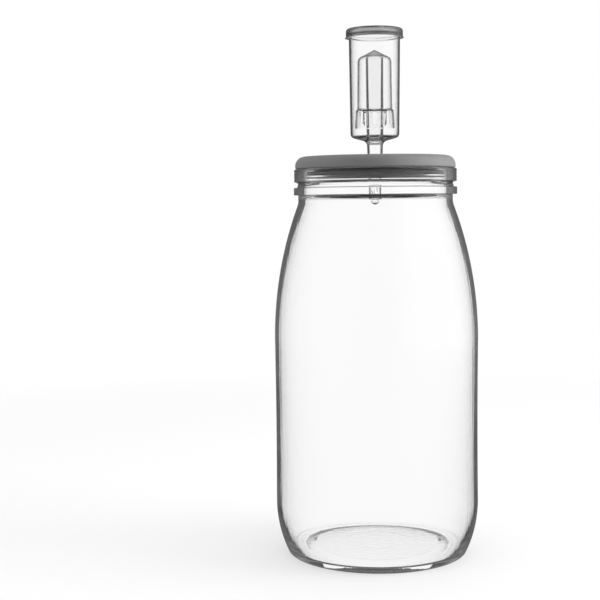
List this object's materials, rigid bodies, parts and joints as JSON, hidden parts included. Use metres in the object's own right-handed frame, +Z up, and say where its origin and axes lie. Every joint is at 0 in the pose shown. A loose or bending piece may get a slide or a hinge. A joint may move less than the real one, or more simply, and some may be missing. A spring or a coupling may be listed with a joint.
{
  "type": "fermentation jar with airlock",
  "caption": "Wide-mouth clear glass jar with a push-in silicone stopper lid and a clear airlock with chamber, floating cup and cap.",
  "frame": {"origin": "centre of the base, on the surface that the jar stands on", "axes": "+Z up along the common axis of the jar, the stopper and the airlock"},
  "size_m": [0.1366, 0.1366, 0.3514],
  "materials": {
    "clear_glass": "clear colourless container glass, smooth, with a stippled resting ring",
    "grey_silicone": "dark grey silicone, matte",
    "clear_plastic": "clear moulded plastic, glossy"
  },
  "bodies": {
    "jar": {"glass_jar": "clear_glass"},
    "lid": {"stopper_lid": "grey_silicone"},
    "airlock": {"airlock_body": "clear_plastic"},
    "float": {"airlock_float": "clear_plastic"},
    "cap": {"airlock_cap": "clear_plastic"}
  },
  "joints": [
    {"name": "lid_lift", "type": "slide", "parent": "jar", "child": "lid", "axis": [0, 0, 1], "range_m": [0, 0.045]},
    {"name": "airlock_pull", "type": "slide", "parent": "lid", "child": "airlock", "axis": [0, 0, 1], "range_m": [0, 0.045]},
    {"name": "float_rise", "type": "slide", "parent": "airlock", "child": "float", "axis": [0, 0, 1], "range_m": [0, 0.0115]},
    {"name": "cap_lift", "type": "slide", "parent": "airlock", "child": "cap", "axis": [0, 0, 1], "range_m": [0, 0.02]}
  ]
}
